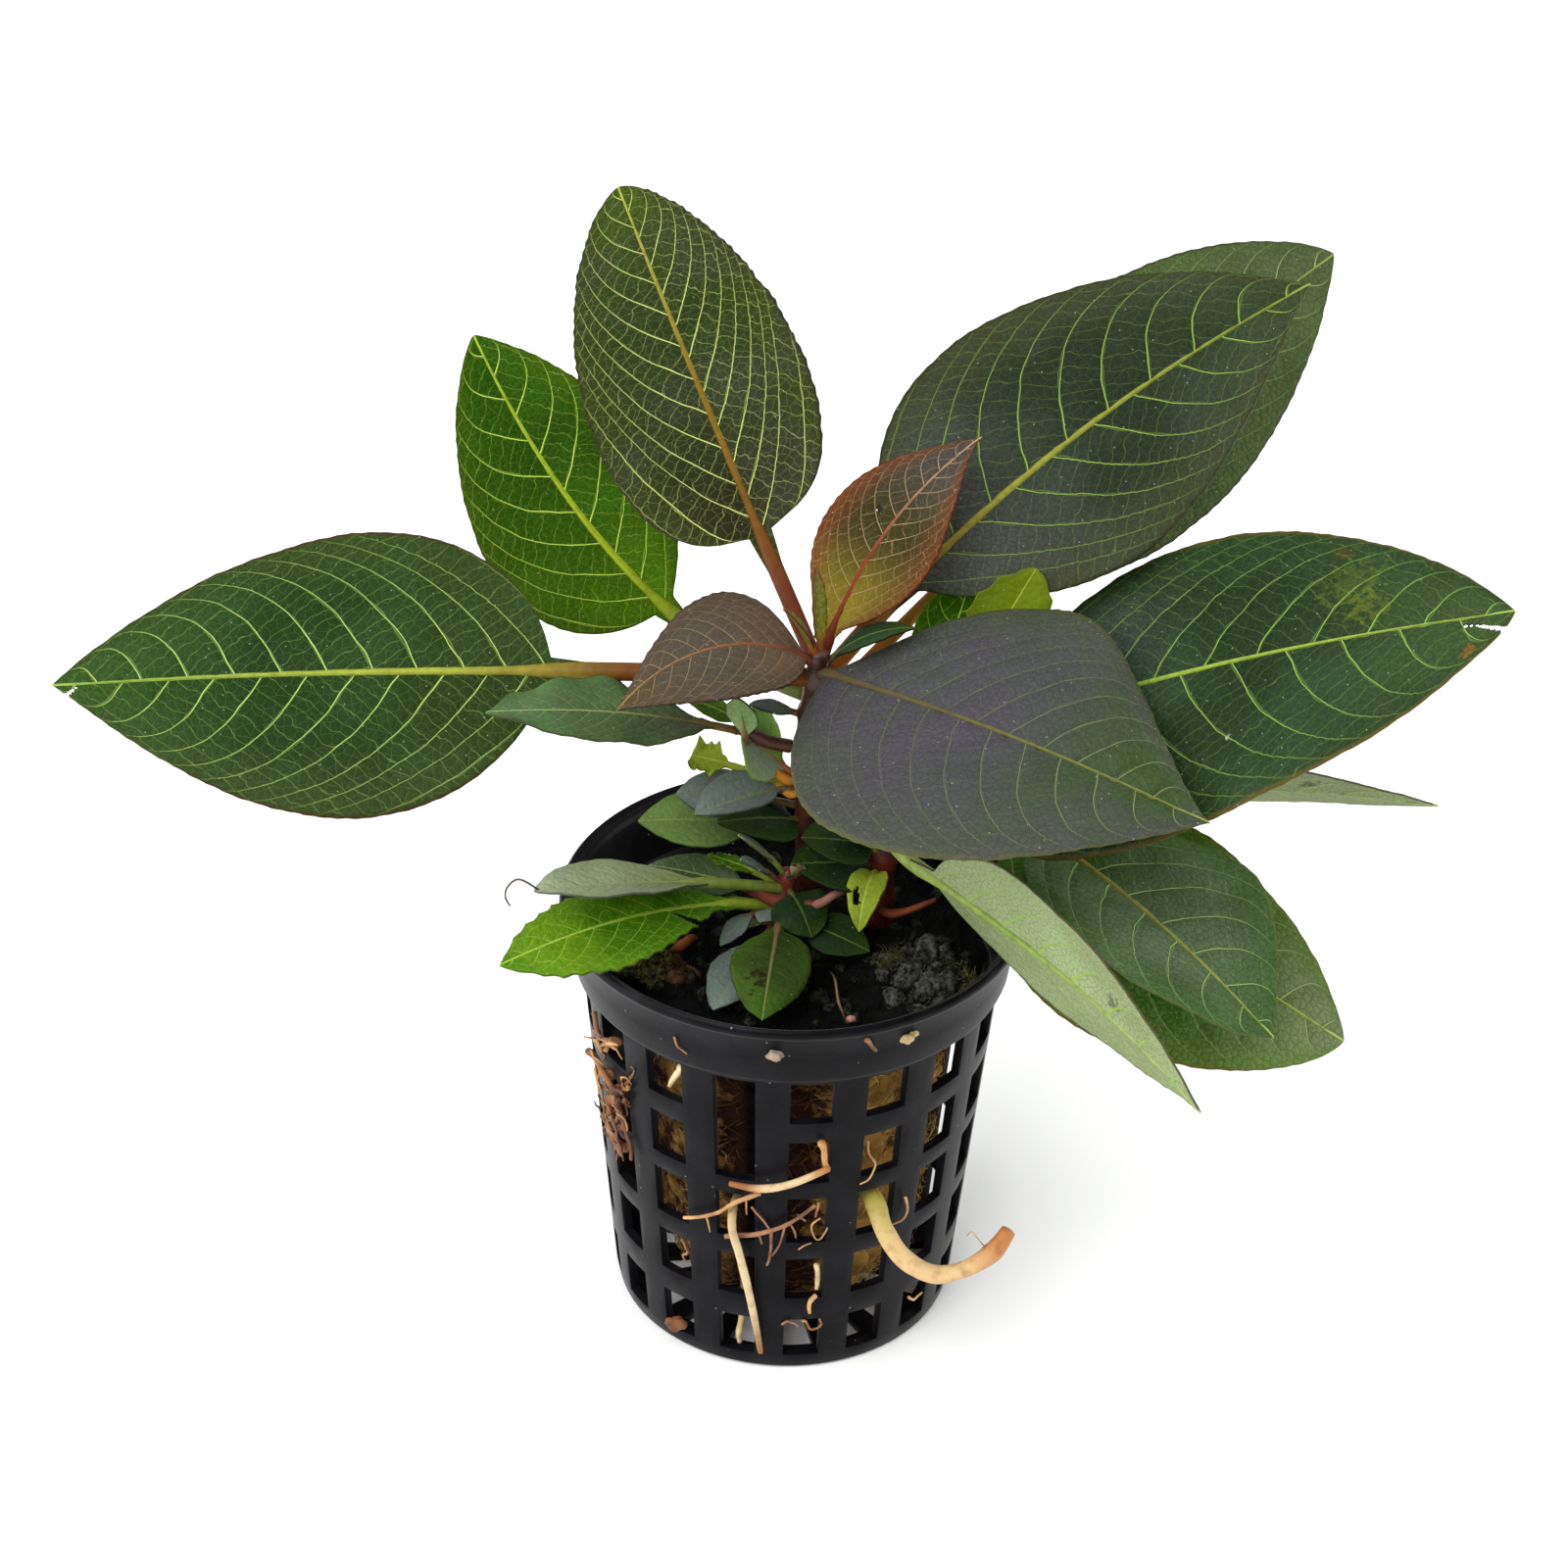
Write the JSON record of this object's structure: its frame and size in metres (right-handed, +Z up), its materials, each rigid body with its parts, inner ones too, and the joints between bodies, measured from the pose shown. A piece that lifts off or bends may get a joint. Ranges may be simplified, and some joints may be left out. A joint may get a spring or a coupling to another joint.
{
  "type": "potted aquarium plant",
  "caption": "Hygrophila grown out of water, broad veined leaves on short stems, rooted in rock wool in a black net pot.",
  "frame": {"origin": "centre of the pot's base, on the surface it stands on", "axes": "+Z up along the pot's axis; -Y towards the side that the picture was taken from"},
  "size_m": [0.1612, 0.1227, 0.1149],
  "materials": {
    "pot_plastic": "satin",
    "rock_wool": "matte",
    "moss": "matte",
    "stem": "satin",
    "root": "satin",
    "leaf_dark": "satin",
    "leaf_bright": "satin",
    "leaf_bronze": "satin",
    "leaf_slate": "satin",
    "leaf_pale": "matte"
  },
  "bodies": {
    "root": {"apex_bud": "leaf_bright", "apex_leaflet": "leaf_bright", "bud_yellow": "leaf_bright", "cluster_leaf_back": "leaf_dark", "cluster_leaf_dark": "leaf_dark", "cluster_leaf_folded": "leaf_slate", "cluster_leaf_low": "leaf_slate", "cluster_leaf_oval": "leaf_dark", "cluster_leaf_slate": "leaf_slate", "curled_leaf": "leaf_dark", "green_leaf_behind": "leaf_bright", "green_leaf_toothed": "leaf_bright", "leaf_back_left": "leaf_bright", "leaf_behind_right": "leaf_dark", "leaf_edge_green": "leaf_bright", "leaf_far_left": "leaf_dark", "leaf_front_right": "leaf_slate", "leaf_hanging_oval": "leaf_bright", "leaf_low_dark": "leaf_dark", "leaf_low_left_green": "leaf_bright", "leaf_low_left_grey": "leaf_slate", "leaf_low_slate": "leaf_slate", "leaf_lower_behind": "leaf_bright", "leaf_lower_right": "leaf_dark", "leaf_pale_hanging": "leaf_pale", "leaf_right": "leaf_dark", "leaf_sliver_right": "leaf_pale", "leaf_small_left": "leaf_slate", "leaf_top": "leaf_bronze", "leaf_torn_green": "leaf_bright", "leaf_upper_right": "leaf_dark", "leaflet_low_pale": "leaf_pale", "leaflet_pale": "leaf_pale", "leaflet_slate": "leaf_slate", "moss_crust": "moss", "pointed_leaflet": "leaf_bright", "pot_base": "pot_plastic", "pot_rim": "pot_plastic", "pot_wall_1": "pot_plastic", "pot_wall_2": "pot_plastic", "pot_wall_3": "pot_plastic", "pot_wall_4": "pot_plastic", "pot_wall_5": "pot_plastic", "pot_wall_6": "pot_plastic", "rock_wool_plug": "rock_wool", "root_across": "root", "root_fat": "root", "root_flat": "root", "shoot_leaf_dark": "leaf_slate", "shoot_leaf_green": "leaf_bright", "shoot_leaf_pale": "leaf_slate", "shoot_left": "stem", "small_leaf_crown": "leaf_dark", "stem_left": "stem", "stem_main": "stem", "stem_right": "stem", "young_leaf_left": "leaf_bronze", "young_leaf_right": "leaf_bronze"}
  },
  "joints": []
}
